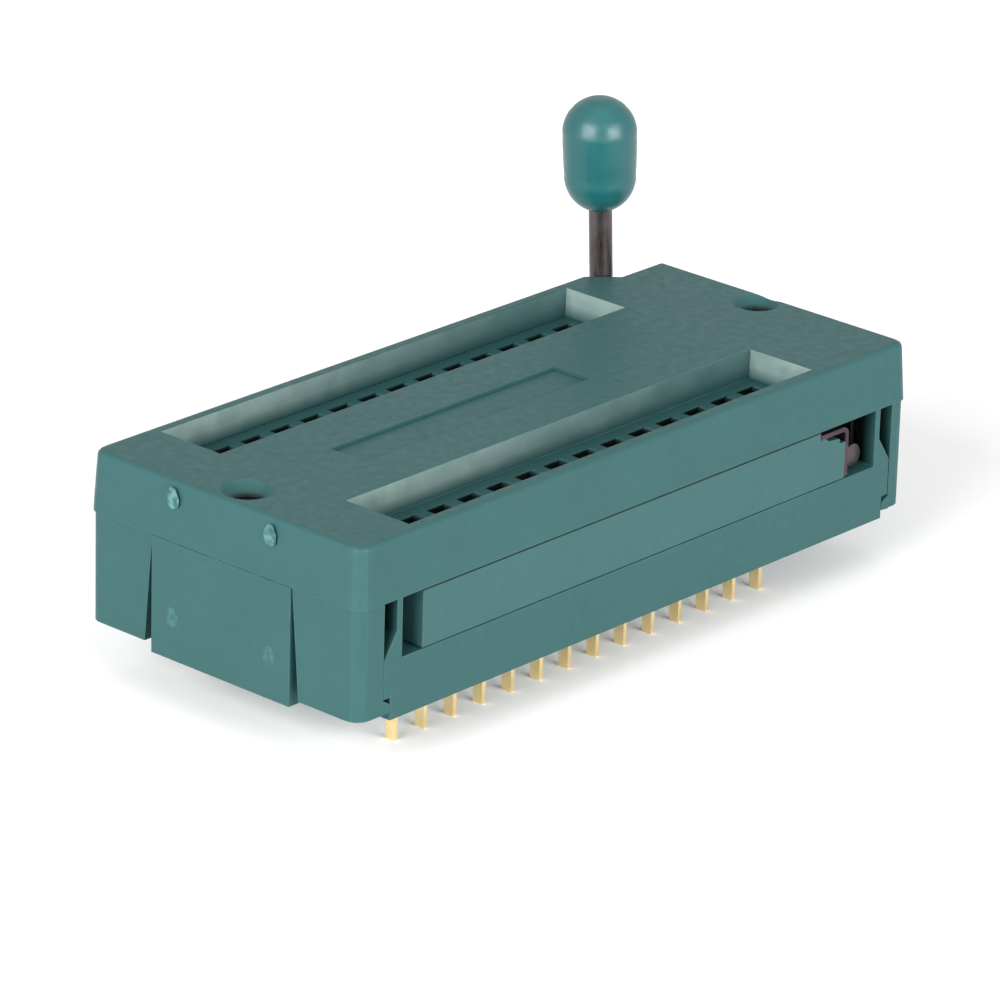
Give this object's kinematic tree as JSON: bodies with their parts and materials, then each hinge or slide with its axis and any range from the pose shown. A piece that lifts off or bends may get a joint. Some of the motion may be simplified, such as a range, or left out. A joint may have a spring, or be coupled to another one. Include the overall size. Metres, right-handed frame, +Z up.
{
  "type": "zif socket",
  "caption": "Zero-insertion-force test socket for a wide dual in-line chip: moulded base and cover, sliding cam plate, and a cranked lever with a knob that opens the spring contacts.",
  "frame": {"origin": "centre of the contact field, on the seating plane (underside of the base)", "axes": "+X along the rows towards the lever end, +Y across the rows towards the lever's side, +Z up, out of the board"},
  "size_m": [0.0496, 0.024, 0.0266],
  "materials": {
    "housing": "matt",
    "slider": "matt",
    "knob": "satin",
    "rod_steel": "dark satin",
    "spring_steel": "heat-tinted",
    "gold": "gold plated"
  },
  "bodies": {
    "housing": {"base_housing": "housing", "top_cover": "housing", "contact_front_01": "gold", "contact_front_02": "gold", "contact_front_03": "gold", "contact_front_04": "gold", "contact_front_05": "gold", "contact_front_06": "gold", "contact_front_07": "gold", "contact_front_08": "gold", "contact_front_09": "gold", "contact_front_10": "gold", "contact_front_11": "gold", "contact_front_12": "gold", "contact_front_13": "gold", "contact_front_14": "gold", "contact_rear_01": "gold", "contact_rear_02": "gold", "contact_rear_03": "gold", "contact_rear_04": "gold", "contact_rear_05": "gold", "contact_rear_06": "gold", "contact_rear_07": "gold", "contact_rear_08": "gold", "contact_rear_09": "gold", "contact_rear_10": "gold", "contact_rear_11": "gold", "contact_rear_12": "gold", "contact_rear_13": "gold", "contact_rear_14": "gold"},
    "slider": {"cam_slider": "slider", "cam_strip": "spring_steel"},
    "lever": {"lever_crank": "rod_steel", "lever_knob": "knob"}
  },
  "joints": [
    {"name": "lever_turn", "type": "hinge", "parent": "housing", "child": "lever", "pos_m": [0.02221, 0, 0.0046], "axis": [0, 1, 0], "range_deg": [0, 93.5]},
    {"name": "slider_travel", "type": "slide", "parent": "housing", "child": "slider", "axis": [1, 0, 0], "range_m": [0, 0.00042]}
  ],
  "couplings": [
    {"joint": "lever_turn", "follows": "slider_travel", "rad_per_m": 3885.4}
  ]
}
